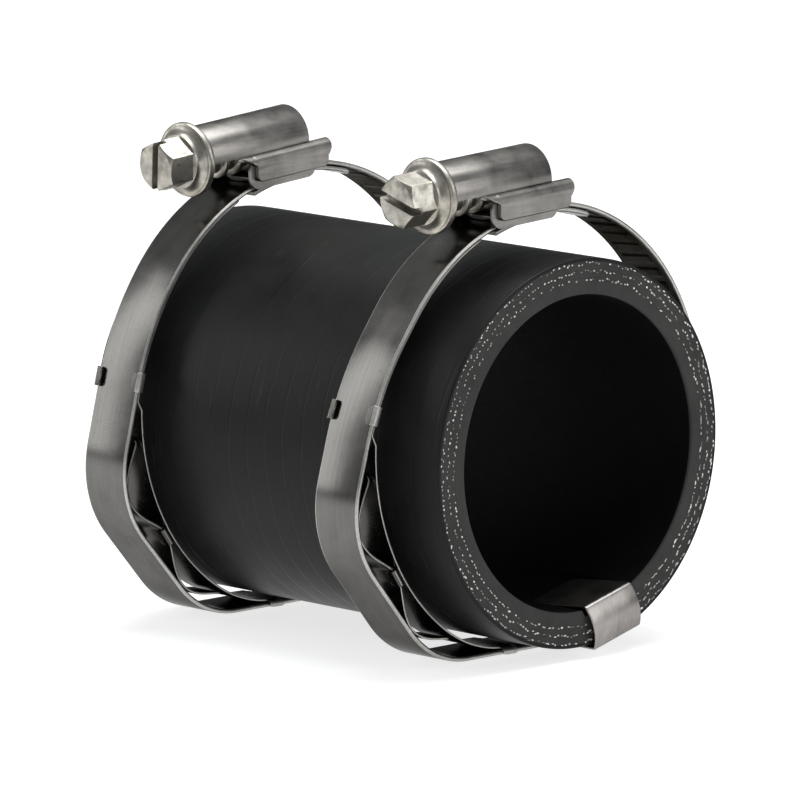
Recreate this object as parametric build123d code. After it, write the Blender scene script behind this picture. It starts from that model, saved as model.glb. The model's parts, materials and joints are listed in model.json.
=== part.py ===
from build123d import *
import os
from dataclasses import dataclass
from math import atan, atan2, cos, degrees, hypot, pi, radians, sin, sqrt, tan

# A short rubber hose sleeve that couples two pipe ends, with two loose worm-drive hose clamps
# round it and a folded sheet clip on the lower rim of one end.
# Lengths are in millimetres. X runs along the hose, Z is up, and the origin is on the hose's
# axis, halfway along it. The screw heads point towards -Y.

# ---- hose: three yarn plies between rubber layers ----
HOSE_LENGTH = 75.0
BORE_RADIUS = 24.0
INNER_TUBE_WALL = 2.05
PLY_WALL = 0.5
SKIM_WALL = 0.7
COVER_WALL = 0.55
HOSE_RADIUS = BORE_RADIUS + INNER_TUBE_WALL + 3 * PLY_WALL + 2 * SKIM_WALL + COVER_WALL

# ---- sheet clip that bridges the cut end of the hose ----
CLIP_WIDTH = 10.0
CLIP_SHEET = 0.4
CLIP_ANGLE = -75.0          # place round the rim, from +Y towards +Z
CLIP_INNER_LEG = 12.0
CLIP_OUTER_LEG = 5.0
CLIP_GAP = 0.1
CLIP_LIP_BEND = 0.8
CLIP_LIP_TURN = 60.0        # direction of the web where it leaves the bore
CLIP_CROWN_BEND = 0.7
CLIP_CROWN_TURN = 115.0     # direction of the web where it folds over the outside

# ---- clamp strip, liner and wave spring ----
BAND_WIDTH = 9.0
BAND_SHEET = 0.7
LAYER_GAP = 0.15            # between the sliding tail and the strip below it
REST_GAP = 0.8              # between the hose and the strip's flat foot
TONGUE_ANGLE = 66.8         # where the strip begins, under the tail
LEAVE_ANGLE = 140.0         # where the strip leaves its round top for the slack side
TAIL_TIP_ANGLE = 103.0      # where the tail ends, past the housing
SPLIT_ANGLE = -25.0         # where the tail takes over from the strip
SPLIT_GAP = 0.15
TIP_ROUNDING = 3.0
LEFT_HEADING = 251.0        # direction of the slack side's upper run
LOWER_HEADING = 306.5       # direction of its lower run
CREASE_ANGLE = 193.5        # where the two runs would meet
SHOULDER_BEND = 45.0
CREASE_BEND = 16.0
FOOT_BEND = 16.0
FACE_SAMPLES = 200          # places measured along each stretch of the strip

LINER_SHEET = 0.3
LINER_WIDTH = 8.4
LINER_START = 108.0
JOGGLE_ANGLE = 172.0
JOGGLE_SPAN = 2.5
JOGGLE_LAP = 0.4
LINER_LANDING = 232.0
LINER_END = 1.0             # run of the liner along the foot
TAB_SHEET = 0.4
TAB_LENGTH = 3.0
TAB_LIP = 1.3
TAB_GAP = 0.1
CLIP_TAB_ANGLE = 167.5

WAVE_SHEET = 0.35
WAVE_WIDTH = 6.4
WAVE_GAP = 0.12
HUMPS = ((195.0, 13.0), (224.0, 12.0))   # middle and half span of each hump, in degrees
WAVE_POINTS = 56

# ---- worm screw ----
THREAD_PITCH = 3.0
THREAD_RADIUS = 3.85
CORE_RADIUS = 3.0
CREST_WIDTH = 0.7
ROOT_WIDTH = 1.3
THREAD_ENGAGEMENT = 0.35    # how deep the thread dips into the tail's grooves
SHANK_START = -17.05
SCREW_TIP = 3.0
FLANGE_RADIUS = 5.8
FLANGE_RIM = 1.2
FLANGE_HEIGHT = 2.55
HEX_ACROSS_FLATS = 7.0
HEX_HEIGHT = 4.8
HEX_CHAMFER = 0.5
HEX_OFFSET = 30.0           # turns the hexagon so that the driver slot ends in two flats
DRIVER_SLOT = 1.2
DRIVER_SLOT_DEPTH = 1.8

# ---- grooves of the tail, which the thread runs in ----
GROOVE_DEPTH = 0.5
GROOVE_LENGTH = 1.75
GROOVE_WIDTH = 6.4
GROOVES_ABOVE = 2           # past the middle of the housing
GROOVES_BELOW = 21          # down the tail

# ---- housing and saddle ----
TUBE_WALL = 0.7
TUBE_CLEARANCE = 0.25
TUBE_START = -16.6
TUBE_END = 3.6
FLAP_START = -8.7
FLAP_END = 6.2
LEDGE_DROP = 0.55           # ledge below the screw axis
FLAP_REACH = 1.17           # flaps' lower edge below the tail's outer face
HOUSING_SHEET = 0.7
SADDLE_SHEET = 0.6
SADDLE_START = -9.7
SADDLE_END = 4.1
SADDLE_CLEARANCE = 0.2
SADDLE_LIP = 0.25           # how far the saddle's walls hang below its plate
SADDLE_CORNER = 1.6
SEAT_GAP = 0.02


@dataclass
class Clamp:
    """One clamp: where it stands on the hose and how its loose loop is shaped."""
    name: str
    end: int                # which end of the hose: 1 is the end with the clip
    from_end: float         # middle of the strip from that end
    offset: float           # loop centre beside the hose axis
    tilt: float             # the screw's lean about X
    slack: float            # tail's outer face beyond the hose
    foot_rise: float        # how far the flat foot cuts into the loop's circle
    bulge: float            # the crease's corner beyond the loop's circle
    liner_slack: float      # free half of the liner beyond the hose
    head_angle: float       # driver slot's turn about the screw

    @property
    def radius(self):
        return HOSE_RADIUS + self.slack

    @property
    def foot(self):
        """Distance of the foot's outer face below the loop centre."""
        return self.radius - self.foot_rise

    @property
    def axis_height(self):
        return self.radius + THREAD_RADIUS - THREAD_ENGAGEMENT

    def place(self, shape):
        along = self.end * (HOSE_LENGTH / 2 - self.from_end)
        height = self.foot - HOSE_RADIUS - REST_GAP - BAND_SHEET
        return Pos(along, self.offset, height) * Rot(self.tilt, 0, 0) * shape


CLAMPS = (
    Clamp("near", 1, 14.0, 1.8, 3.0, 4.85, 0.95, 8.0, 5.15, 17.5),
    Clamp("far", -1, 9.0, 2.4, 4.8, 5.8, 1.95, 6.7, 4.9, -83.0),
)


# ---- plane geometry of the loop, seen along -X: first Y, then Z ----
def polar(radius, angle):
    return radius * cos(radians(angle)), radius * sin(radians(angle))


def meeting(point_a, heading_a, point_b, heading_b):
    """Where two lines cross, each given by a point and a heading in degrees."""
    ax, ay = polar(1, heading_a)
    bx, by = polar(1, heading_b)
    dx, dy = point_b[0] - point_a[0], point_b[1] - point_a[1]
    reach = (dx * by - dy * bx) / (ax * by - ay * bx)
    return point_a[0] + ax * reach, point_a[1] + ay * reach


def distance(a, b):
    return sqrt((a[0] - b[0]) ** 2 + (a[1] - b[1]) ** 2)


def landing_radius(circle, angle, depth):
    """Radius of the arc that leaves a circle at an angle and meets a flat below it."""
    return (circle * sin(radians(angle)) + depth) / (1 + sin(radians(angle)))


def trace(start, heading, steps, inset):
    """Edges of a path of straight runs and bends, moved to its left by inset.
    A step is ("run", length) or ("bend", radius, turn in degrees), with left turns positive."""
    shift = polar(inset, heading + 90)
    point = (start[0] + shift[0], start[1] + shift[1])
    edges = []
    for step in steps:
        tangent = polar(1, heading)
        if step[0] == "run":
            end = (point[0] + tangent[0] * step[1], point[1] + tangent[1] * step[1])
            edges.append(Line(point, end))
        else:
            radius = step[1] - inset if step[2] > 0 else step[1] + inset
            edges.append(JernArc(point, tangent, radius, step[2]))
            heading += step[2]
        point = tuple(edges[-1] @ 1)[:2]
    return edges


def ribbon(start, heading, steps, outer, inner):
    """Flat outline of a strip that follows a path between two insets."""
    side = trace(start, heading, steps, outer)
    other = trace(start, heading, steps, inner)
    ends = [Line(side[0] @ 0, other[0] @ 0), Line(side[-1] @ 1, other[-1] @ 1)]
    return make_face([*side, *other, *ends])


def across(outline, width):
    """Gives an outline in the loop's plane its width along the hose."""
    return extrude(Plane.YZ * outline, width / 2, both=True)


def block(along, width, low, high):
    """A box from one place to another along the screw, centred across it."""
    middle = (0, (along[0] + along[1]) / 2, (low + high) / 2)
    return Pos(*middle) * Box(width, along[1] - along[0], high - low)


def rod(radius, start, end, height):
    """A cylinder along the screw's direction."""
    middle = (start + end) / 2
    return Pos(0, middle, height) * Rot(90, 0, 0) * Cylinder(radius, end - start)


def disc(radius, width):
    """A cylinder about the loop's own axis."""
    return Rot(0, 90, 0) * Cylinder(radius, width)


# ---- path of the strip ----
def crease(clamp):
    return polar(clamp.radius + clamp.bulge, CREASE_ANGLE)


def strip_circle(clamp):
    """Outer radius of the strip where the tail lies on it."""
    return clamp.radius - BAND_SHEET - LAYER_GAP


def strip_steps(clamp):
    """Steps of the strip's outer face, from the tongue over the top, down the slack side,
    along the foot and up to where the tail takes over."""
    top = strip_circle(clamp)
    leave = polar(top, LEAVE_ANGLE)
    shoulder = meeting(leave, LEAVE_ANGLE + 90, crease(clamp), LEFT_HEADING)
    foot_line = (clamp.foot * sin(radians(-clamp.tilt)), -clamp.foot * cos(radians(clamp.tilt)))
    heel = meeting(crease(clamp), LOWER_HEADING, foot_line, 360 - clamp.tilt)
    landing = landing_radius(clamp.radius, SPLIT_ANGLE + clamp.tilt, clamp.foot)
    toe = (clamp.radius - landing) * cos(radians(SPLIT_ANGLE + clamp.tilt))
    turns = (
        LEFT_HEADING - LEAVE_ANGLE - 90,
        LOWER_HEADING - LEFT_HEADING,
        360 - clamp.tilt - LOWER_HEADING,
    )
    bends = (SHOULDER_BEND, CREASE_BEND, FOOT_BEND)
    cuts = [bend * tan(radians(turn / 2)) for bend, turn in zip(bends, turns)]
    heel_run = heel[0] * cos(radians(clamp.tilt)) - heel[1] * sin(radians(clamp.tilt))
    return [
        ("bend", top, LEAVE_ANGLE - TONGUE_ANGLE),
        ("run", distance(leave, shoulder) - cuts[0]),
        ("bend", bends[0], turns[0]),
        ("run", distance(shoulder, crease(clamp)) - cuts[0] - cuts[1]),
        ("bend", bends[1], turns[1]),
        ("run", distance(crease(clamp), heel) - cuts[1] - cuts[2]),
        ("bend", bends[2], turns[2]),
        ("run", toe - heel_run - cuts[2]),
        ("bend", landing, 90 + SPLIT_ANGLE + clamp.tilt),
    ]


def strip_start(clamp):
    return polar(strip_circle(clamp), TONGUE_ANGLE)


def strip_at(clamp, angle):
    """Distance from the loop centre to the strip's outer face at an angle, and which way the
    face looks there."""
    samples = []
    for edge in trace(strip_start(clamp), TONGUE_ANGLE + 90, strip_steps(clamp), 0):
        for i in range(FACE_SAMPLES + 1):
            point, along = edge @ (i / FACE_SAMPLES), edge % (i / FACE_SAMPLES)
            place = degrees(atan2(point.Y, point.X)) % 360
            samples.append((place, hypot(point.X, point.Y), degrees(atan2(along.Y, along.X)) - 90))
    nearest = min(samples, key=lambda sample: abs(sample[0] - angle))
    return nearest[1:]


def rounded_tip(angle, side, middle_radius):
    """What is cut away to round the end of a strip. side is 1 when the strip ends towards
    growing angles, and -1 when it ends towards shrinking ones."""
    reach = 2 * TIP_ROUNDING
    corners = []
    for edge in (-1, 1):
        corner = Pos(edge * BAND_WIDTH / 2, 0, 0) * Box(2 * TIP_ROUNDING, 2 * TIP_ROUNDING, reach)
        core = (edge * (BAND_WIDTH / 2 - TIP_ROUNDING), side * TIP_ROUNDING, 0)
        corners.append(corner - Pos(*core) * Cylinder(TIP_ROUNDING, reach))
    return Rot(angle - 90, 0, 0) * Pos(0, 0, middle_radius) * (corners[0] + corners[1])


# ---- clamp pieces ----
def band(clamp):
    outline = ribbon(strip_start(clamp), TONGUE_ANGLE + 90, strip_steps(clamp), 0, BAND_SHEET)
    strip = across(outline, BAND_WIDTH)
    return strip - rounded_tip(TONGUE_ANGLE, 1, strip_circle(clamp))


def groove_step(clamp):
    """Angle between grooves, so that one turn of the screw moves the tail by one groove."""
    return degrees(THREAD_PITCH / (clamp.radius - GROOVE_DEPTH / 2))


def band_tail(clamp):
    first = SPLIT_ANGLE + degrees(SPLIT_GAP / clamp.radius)
    steps = [("bend", clamp.radius, TAIL_TIP_ANGLE - first)]
    outline = ribbon(polar(clamp.radius, first), first + 90, steps, 0, BAND_SHEET)
    strip = across(outline, BAND_WIDTH)
    slant = degrees(atan(THREAD_PITCH / (2 * pi * THREAD_RADIUS)))
    groove = Rot(0, 0, -slant) * Box(GROOVE_WIDTH, GROOVE_LENGTH, 2 * GROOVE_DEPTH)
    cutters = [
        Rot(count * groove_step(clamp), 0, 0) * Pos(0, 0, clamp.radius) * groove
        for count in range(-GROOVES_BELOW, GROOVES_ABOVE + 1)
    ]
    return strip - cutters - rounded_tip(TAIL_TIP_ANGLE, -1, clamp.radius)


def liner_circle(clamp):
    return HOSE_RADIUS + clamp.liner_slack


def under_band():
    """Depth of the liner's outer face below the strip's outer face."""
    return BAND_SHEET + TAB_GAP


def liner_landing(clamp):
    """Radius of the liner's last bend, which lays it on the foot."""
    depth = clamp.foot - under_band()
    return landing_radius(liner_circle(clamp), LINER_LANDING + clamp.tilt, depth)


def liner(clamp):
    """Thin strip inside the slack side, with tabs that hold it to the band and to the wave."""
    steps = strip_steps(clamp)[:4]
    steps[0] = ("bend", strip_circle(clamp), LEAVE_ANGLE - LINER_START)
    start = polar(strip_circle(clamp), LINER_START)
    upper = ribbon(start, LINER_START + 90, steps, under_band(), under_band() + LINER_SHEET)
    free_start = JOGGLE_ANGLE + JOGGLE_SPAN
    free = [
        ("bend", liner_circle(clamp), LINER_LANDING - free_start),
        ("bend", liner_landing(clamp), 270 - LINER_LANDING - clamp.tilt),
        ("run", LINER_END),
    ]
    lower = ribbon(polar(liner_circle(clamp), free_start), free_start + 90, free, 0, LINER_SHEET)
    before_joggle = Pos(*polar(clamp.radius, JOGGLE_ANGLE - 90)) * Rot(0, 0, JOGGLE_ANGLE)
    before_joggle *= Rectangle(4 * clamp.radius, 2 * clamp.radius)
    outline = (upper & before_joggle) + lower + joggle_link(clamp)
    strip = across(outline, LINER_WIDTH)
    for tab in band_tabs(clamp) + foot_guides(clamp) + wave_tabs(clamp):
        strip += tab
    return strip


def joggle_link(clamp):
    """Short sloping piece of the liner between its two levels."""
    above = polar(strip_at(clamp, JOGGLE_ANGLE)[0] - under_band(), JOGGLE_ANGLE)
    below = polar(liner_circle(clamp), JOGGLE_ANGLE + JOGGLE_SPAN)
    inside_above = polar(hypot(*above) - LINER_SHEET, JOGGLE_ANGLE - JOGGLE_LAP)
    inside_below = polar(hypot(*below) - LINER_SHEET, JOGGLE_ANGLE + JOGGLE_SPAN + JOGGLE_LAP)
    outside_above = polar(hypot(*above), JOGGLE_ANGLE)
    outside_below = polar(hypot(*below), JOGGLE_ANGLE + JOGGLE_SPAN + JOGGLE_LAP)
    return make_face(Polyline(outside_above, outside_below, inside_below, inside_above, close=True))


def hook(length, inner_face, depth, lip):
    """A folded tab on each edge of a strip that lies flat on height 0. A seat joins it to the
    strip, a wall stands up by depth, and a lip turns in over the top when lip isn't 0."""
    outside = inner_face + TAB_SHEET
    seat = min(inner_face, LINER_WIDTH / 2) - TAB_SHEET
    bars = [(inner_face, outside, 0, depth), (seat, outside, 0, LINER_SHEET)]
    if lip:
        bars.append((outside - lip, outside, depth - TAB_SHEET, depth))
    return [
        Pos(edge * (near + far) / 2, 0, (low + high) / 2) * Box(far - near, length, high - low)
        for edge in (-1, 1)
        for near, far, low, high in bars
    ]


def band_tabs(clamp):
    """Tabs above the joggle that fold round both edges of the band."""
    reach, facing = strip_at(clamp, CLIP_TAB_ANGLE)
    depth = LINER_SHEET + BAND_SHEET + 2 * TAB_GAP + TAB_SHEET
    stand = Pos(0, *polar(reach, CLIP_TAB_ANGLE)) * Rot(facing - 90, 0, 0)
    stand *= Pos(0, 0, -under_band() - LINER_SHEET)
    return [stand * bar for bar in hook(TAB_LENGTH, BAND_WIDTH / 2 + TAB_GAP, depth, TAB_LIP)]


def foot_guides(clamp):
    """Short walls beside the foot that keep the liner's loose end on the band."""
    inside = clamp.foot - under_band() - LINER_SHEET
    circle_part = (liner_circle(clamp) - liner_landing(clamp)) * cos(radians(LINER_LANDING + clamp.tilt))
    middle = circle_part + LINER_END - TAB_LENGTH / 2
    stand = Rot(-clamp.tilt, 0, 0) * Pos(0, middle, -inside) * Rot(180, 0, 0)
    depth = LINER_SHEET + under_band()
    return [stand * bar for bar in hook(TAB_LENGTH, BAND_WIDTH / 2 + TAB_GAP, depth, 0)]


def wave_tabs(clamp):
    """Tabs that hold the wave spring down between its two humps."""
    middle = (HUMPS[0][0] + HUMPS[0][1] + HUMPS[1][0] - HUMPS[1][1]) / 2
    depth = LINER_SHEET + WAVE_SHEET + 2 * WAVE_GAP + TAB_SHEET
    stand = Rot(middle - 90, 0, 0) * Pos(0, 0, liner_circle(clamp) - LINER_SHEET)
    return [stand * bar for bar in hook(TAB_LENGTH, WAVE_WIDTH / 2 + TAB_GAP, depth, TAB_LIP)]


def wave_spring(clamp):
    """Springy strip whose two humps reach out from the liner to the band."""
    base = liner_circle(clamp) + WAVE_GAP
    first = HUMPS[0][0] - HUMPS[0][1]
    last = HUMPS[1][0] + HUMPS[1][1]
    covering = BAND_SHEET + WAVE_GAP + WAVE_SHEET
    rises = [strip_at(clamp, middle)[0] - covering - base for middle, _ in HUMPS]
    inner, outer = [], []
    for i in range(WAVE_POINTS + 1):
        angle = first + (last - first) * i / WAVE_POINTS
        lift = 0
        for (middle, half), rise in zip(HUMPS, rises):
            if abs(angle - middle) < half:
                lift = rise * (1 + cos(pi * (angle - middle) / half)) / 2
        inner.append(polar(base + lift, angle))
        outer.append(polar(base + lift + WAVE_SHEET, angle))
    edges = [Spline(*inner), Spline(*outer), Line(inner[0], outer[0]), Line(inner[-1], outer[-1])]
    return across(make_face(edges), WAVE_WIDTH)


def thread():
    """Helical ridge with its crest over the strip at the middle of the housing. Its axis is Z."""
    start = THREAD_PITCH * round((SHANK_START + THREAD_PITCH) / THREAD_PITCH) - THREAD_PITCH / 4
    turns = int((SCREW_TIP - ROOT_WIDTH / 2 - start) / THREAD_PITCH)
    path = Helix(THREAD_PITCH, turns * THREAD_PITCH, CORE_RADIUS, center=(0, 0, start))
    root = CORE_RADIUS - CREST_WIDTH / 2
    profile = Polyline(
        (root, 0, start - ROOT_WIDTH / 2),
        (THREAD_RADIUS, 0, start - CREST_WIDTH / 2),
        (THREAD_RADIUS, 0, start + CREST_WIDTH / 2),
        (root, 0, start + ROOT_WIDTH / 2),
        close=True,
    )
    return sweep(make_face(profile), path=path, is_frenet=True)


def screw_head(clamp):
    """Flanged hexagon with a driver slot. Its axis is Z and it faces -Z."""
    rim = SHANK_START - FLANGE_RIM
    neck = SHANK_START - FLANGE_HEIGHT
    top = neck - HEX_HEIGHT
    corner = HEX_ACROSS_FLATS / sqrt(3)
    flange = make_face(Polyline((0, SHANK_START), (FLANGE_RADIUS, SHANK_START), (FLANGE_RADIUS, rim),
                                (corner, neck), (0, neck), close=True))
    envelope = make_face(Polyline((0, neck), (corner, neck), (corner, top + HEX_CHAMFER),
                                  (corner - HEX_CHAMFER, top), (0, top), close=True))
    hexagon = Pos(0, 0, (neck + top) / 2) * extrude(
        RegularPolygon(HEX_ACROSS_FLATS / 2, 6, major_radius=False), HEX_HEIGHT / 2, both=True)
    hexagon = hexagon & revolve(Plane.XZ * envelope, Axis.Z)
    slot = Pos(0, 0, top) * Box(4 * FLANGE_RADIUS, DRIVER_SLOT, 2 * DRIVER_SLOT_DEPTH)
    hexagon = Rot(0, 0, HEX_OFFSET) * hexagon - slot
    return revolve(Plane.XZ * flange, Axis.Z) + Rot(0, 0, clamp.head_angle) * hexagon


def worm_screw(clamp):
    shank = Pos(0, 0, (SHANK_START + SCREW_TIP) / 2) * Cylinder(CORE_RADIUS, SCREW_TIP - SHANK_START)
    screw = shank + screw_head(clamp) + thread()
    return Pos(0, 0, clamp.axis_height) * Rot(-90, 0, 0) * screw


def saddle_half_width():
    """Outer half width of the saddle, which the housing's flaps lie against."""
    return BAND_WIDTH / 2 + SADDLE_CLEARANCE + SADDLE_SHEET


def housing(clamp):
    """Tube over the screw that spreads into a ledge and two flaps beside the saddle."""
    axis = clamp.axis_height
    bore = THREAD_RADIUS + TUBE_CLEARANCE
    outer = bore + TUBE_WALL
    inside = saddle_half_width()
    outside = inside + HOUSING_SHEET
    ledge = axis - LEDGE_DROP
    tube = rod(outer, TUBE_START, TUBE_END, axis)
    open_side = block((TUBE_START, TUBE_END), 4 * outer, axis - 2 * outer, ledge)
    hem = clamp.radius - FLAP_REACH
    shell = block((FLAP_START, FLAP_END), 2 * outside, hem, ledge)
    inner_box = block((FLAP_START, FLAP_END), 2 * inside, hem, ledge - HOUSING_SHEET)
    body = (tube - open_side) + (shell - inner_box)
    return body - rod(bore, TUBE_START, TUBE_END, axis)


def saddle(clamp):
    """Channel under the strip that carries the housing."""
    length = (SADDLE_START, SADDLE_END)
    top = clamp.axis_height - LEDGE_DROP - HOUSING_SHEET - SEAT_GAP
    seat = strip_circle(clamp) - BAND_SHEET - SEAT_GAP
    bottom = seat - SADDLE_SHEET - SADDLE_LIP
    half = saddle_half_width()
    inside = 2 * (half - SADDLE_SHEET)
    outline = Rectangle(SADDLE_END - SADDLE_START, top - bottom)
    outline = fillet(outline.vertices(), SADDLE_CORNER)
    middle = ((SADDLE_START + SADDLE_END) / 2, (top + bottom) / 2)
    body = across(Pos(*middle) * outline, 2 * half)
    room = block(length, inside, bottom - 1, top + 1)
    return body - (room - disc(seat, inside)) - disc(seat - SADDLE_SHEET, inside)


# ---- hose pieces ----
def tube(inner, outer, length):
    return Rot(0, 90, 0) * (Cylinder(outer, length) - Cylinder(inner, length + 1))


def hose_layers():
    """Each layer's name and wall, from the bore outwards."""
    return (
        ("hose_inner_tube", INNER_TUBE_WALL),
        ("hose_inner_ply", PLY_WALL),
        ("hose_inner_skim", SKIM_WALL),
        ("hose_middle_ply", PLY_WALL),
        ("hose_outer_skim", SKIM_WALL),
        ("hose_outer_ply", PLY_WALL),
        ("hose_cover", COVER_WALL),
    )


def clip_face(start, end, low, high):
    """Outline of a slab through the rim where the clip sits. X is along the hose and Y is the
    distance from its axis."""
    return Pos((start + end) / 2, (low + high) / 2) * Rectangle(end - start, high - low)


def at_clip(outline, width):
    """Gives an outline its width across the hose and turns it to the clip's place."""
    return Rot(CLIP_ANGLE - 90, 0, 0) * extrude(Plane.XZ * outline, width / 2, both=True)


def clip_pocket():
    """Room pressed into the bore by the clip's inner leg."""
    end = HOSE_LENGTH / 2
    start = end - CLIP_INNER_LEG - CLIP_GAP
    floor = BORE_RADIUS + CLIP_SHEET + CLIP_GAP
    room = clip_face(start, end + CLIP_SHEET, BORE_RADIUS / 2, floor)
    return at_clip(room, CLIP_WIDTH + 2 * CLIP_GAP)


def earthing_clip():
    """Sheet that comes out of the bore, bulges over the cut end and folds over the outside."""
    span = HOSE_RADIUS + CLIP_GAP + CLIP_SHEET - BORE_RADIUS
    lip, crown = radians(CLIP_LIP_TURN), radians(CLIP_CROWN_TURN)
    ends = CLIP_LIP_BEND * (1 - cos(lip)) + CLIP_CROWN_BEND * (1 + cos(crown))
    web = (span - ends) / (cos(lip) - cos(crown))
    overhang = CLIP_GAP + (CLIP_LIP_BEND - web) * sin(lip) + (web - CLIP_CROWN_BEND) * sin(crown)
    steps = [
        ("run", CLIP_INNER_LEG + CLIP_GAP),
        ("bend", CLIP_LIP_BEND, CLIP_LIP_TURN),
        ("bend", web, CLIP_CROWN_TURN - CLIP_LIP_TURN),
        ("bend", CLIP_CROWN_BEND, 180 - CLIP_CROWN_TURN),
        ("run", CLIP_OUTER_LEG + overhang),
    ]
    start = (HOSE_LENGTH / 2 - CLIP_INNER_LEG, BORE_RADIUS)
    return at_clip(ribbon(start, 0, steps, 0, CLIP_SHEET), CLIP_WIDTH)


# ---- every piece ----
def hose_pieces():
    pieces = {}
    inner = BORE_RADIUS
    for name, wall in hose_layers():
        pieces[name] = tube(inner, inner + wall, HOSE_LENGTH)
        inner += wall
    pieces["hose_inner_tube"] -= clip_pocket()
    pieces["earthing_clip"] = earthing_clip()
    return pieces


def clamp_pieces(clamp):
    makers = {
        "band": band,
        "band_tail": band_tail,
        "liner": liner,
        "wave_spring": wave_spring,
        "saddle": saddle,
        "housing": housing,
        "worm_screw": worm_screw,
    }
    return {f"{clamp.name}_{piece}": clamp.place(make(clamp)) for piece, make in makers.items()}


def main():
    os.makedirs("parts", exist_ok=True)
    pieces = hose_pieces()
    for clamp in CLAMPS:
        pieces |= clamp_pieces(clamp)
    for name, shape in pieces.items():
        export_step(shape, f"parts/{name}.step")
        print(name, len(shape.solids()), round(shape.volume, 1))


main()
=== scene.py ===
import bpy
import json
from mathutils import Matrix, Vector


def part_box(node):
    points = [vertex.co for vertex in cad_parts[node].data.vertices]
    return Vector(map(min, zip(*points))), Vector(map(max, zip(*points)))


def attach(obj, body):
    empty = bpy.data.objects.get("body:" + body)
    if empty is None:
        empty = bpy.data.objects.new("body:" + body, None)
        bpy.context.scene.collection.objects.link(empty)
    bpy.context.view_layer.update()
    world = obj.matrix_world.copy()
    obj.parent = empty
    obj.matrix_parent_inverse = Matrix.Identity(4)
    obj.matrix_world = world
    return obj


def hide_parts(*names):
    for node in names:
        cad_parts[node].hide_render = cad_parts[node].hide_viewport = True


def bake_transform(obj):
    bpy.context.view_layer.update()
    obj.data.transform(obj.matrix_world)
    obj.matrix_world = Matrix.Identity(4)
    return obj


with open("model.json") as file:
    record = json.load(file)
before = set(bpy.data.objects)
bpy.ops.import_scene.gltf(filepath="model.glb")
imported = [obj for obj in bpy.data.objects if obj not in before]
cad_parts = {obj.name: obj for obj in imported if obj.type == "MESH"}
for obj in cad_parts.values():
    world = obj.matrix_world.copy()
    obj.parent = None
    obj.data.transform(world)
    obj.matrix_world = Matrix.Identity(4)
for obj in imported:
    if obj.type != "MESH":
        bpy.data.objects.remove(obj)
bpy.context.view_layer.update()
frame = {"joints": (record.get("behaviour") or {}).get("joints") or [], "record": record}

# %% [markdown]
# ## Units and small tools
#
# Blender works in metres here, and the pieces are thought of in millimetres, so one constant
# converts. A mesh is always made the same way: a list of points and a list of faces. Smooth
# shading with sharp edges above a chosen angle keeps flat sheet flat and round tube round.
# %% Units and mesh maker
import bpy
import bmesh
import json
import math
import random
from mathutils import Matrix, Vector

MM = 0.001
SHARP_ANGLE = math.radians(32)
EDGE_FACING = 0.12
EDGE_SHARE = 0.73


def polar(radius, angle):
    return radius * math.cos(math.radians(angle)), radius * math.sin(math.radians(angle))


def make_mesh(name, points, faces, to_row=Matrix.Identity(4)):
    """A smooth-shaded object from points in millimetres, moved into the row frame."""
    mesh = bpy.data.meshes.new(name)
    mesh.from_pydata([to_row @ (Vector(p) * MM) for p in points], [], faces)
    work = bmesh.new()
    work.from_mesh(mesh)
    bmesh.ops.remove_doubles(work, verts=work.verts, dist=1e-7)
    bmesh.ops.recalc_face_normals(work, faces=work.faces)
    for face in work.faces:
        face.smooth = True
    for edge in work.edges:
        if len(edge.link_faces) == 2 and edge.calc_face_angle(0) > SHARP_ANGLE:
            edge.smooth = False
    work.to_mesh(mesh)
    work.free()
    piece = bpy.data.objects.new(name, mesh)
    bpy.context.scene.collection.objects.link(piece)
    return piece


def dress(piece, finish, slot, body, *nodes, edge=None):
    """Gives a piece its finish and its body, and hides the fixed nodes that it stands for. A sheet
    piece can have a second, brighter finish on the cut edges, which face along the hose and lie in
    the outer part of its width; on steel that finish is partly the cut edges' own and partly a
    painted highlight."""
    piece.data.materials.append(finish)
    if edge:
        piece.data.materials.append(edge)
        across = [point.co.x for point in piece.data.vertices]
        middle, half = (max(across) + min(across)) / 2, (max(across) - min(across)) / 2
        for face in piece.data.polygons:
            outside = abs(face.center.x - middle) > EDGE_SHARE * half
            if outside and abs(face.normal.x) > EDGE_FACING:
                face.material_index = 1
    if body:
        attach(piece, body)
    if nodes:
        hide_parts(*nodes)
    print(piece.name, len(piece.data.vertices), "points")
    return piece


def bake_modifiers(piece):
    """Makes a piece's modifiers part of its mesh."""
    graph = bpy.context.evaluated_depsgraph_get()
    mesh = bpy.data.meshes.new_from_object(piece.evaluated_get(graph))
    piece.modifiers.clear()
    piece.data = mesh
    return piece


# %% [markdown]
# ## Grids
#
# Nearly every piece is a grid of points: rows along its length and columns round or across
# it. One function joins the rows of closed rings, which gives tubes, strips and screws.
# Another joins an outer and an inner sheet into a slab, which gives folded sheet metal.
# %% Rings and slabs
def ring_faces(rows, columns, closed_ends=True):
    """Faces between rings of points, row after row, with a face on each end."""
    faces = []
    for row in range(rows - 1):
        for column in range(columns):
            following = (column + 1) % columns
            here, above = row * columns, (row + 1) * columns
            faces.append((here + column, here + following, above + following, above + column))
    if closed_ends:
        faces.append(tuple(range(columns - 1, -1, -1)))
        faces.append(tuple(range((rows - 1) * columns, rows * columns)))
    return faces


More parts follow.
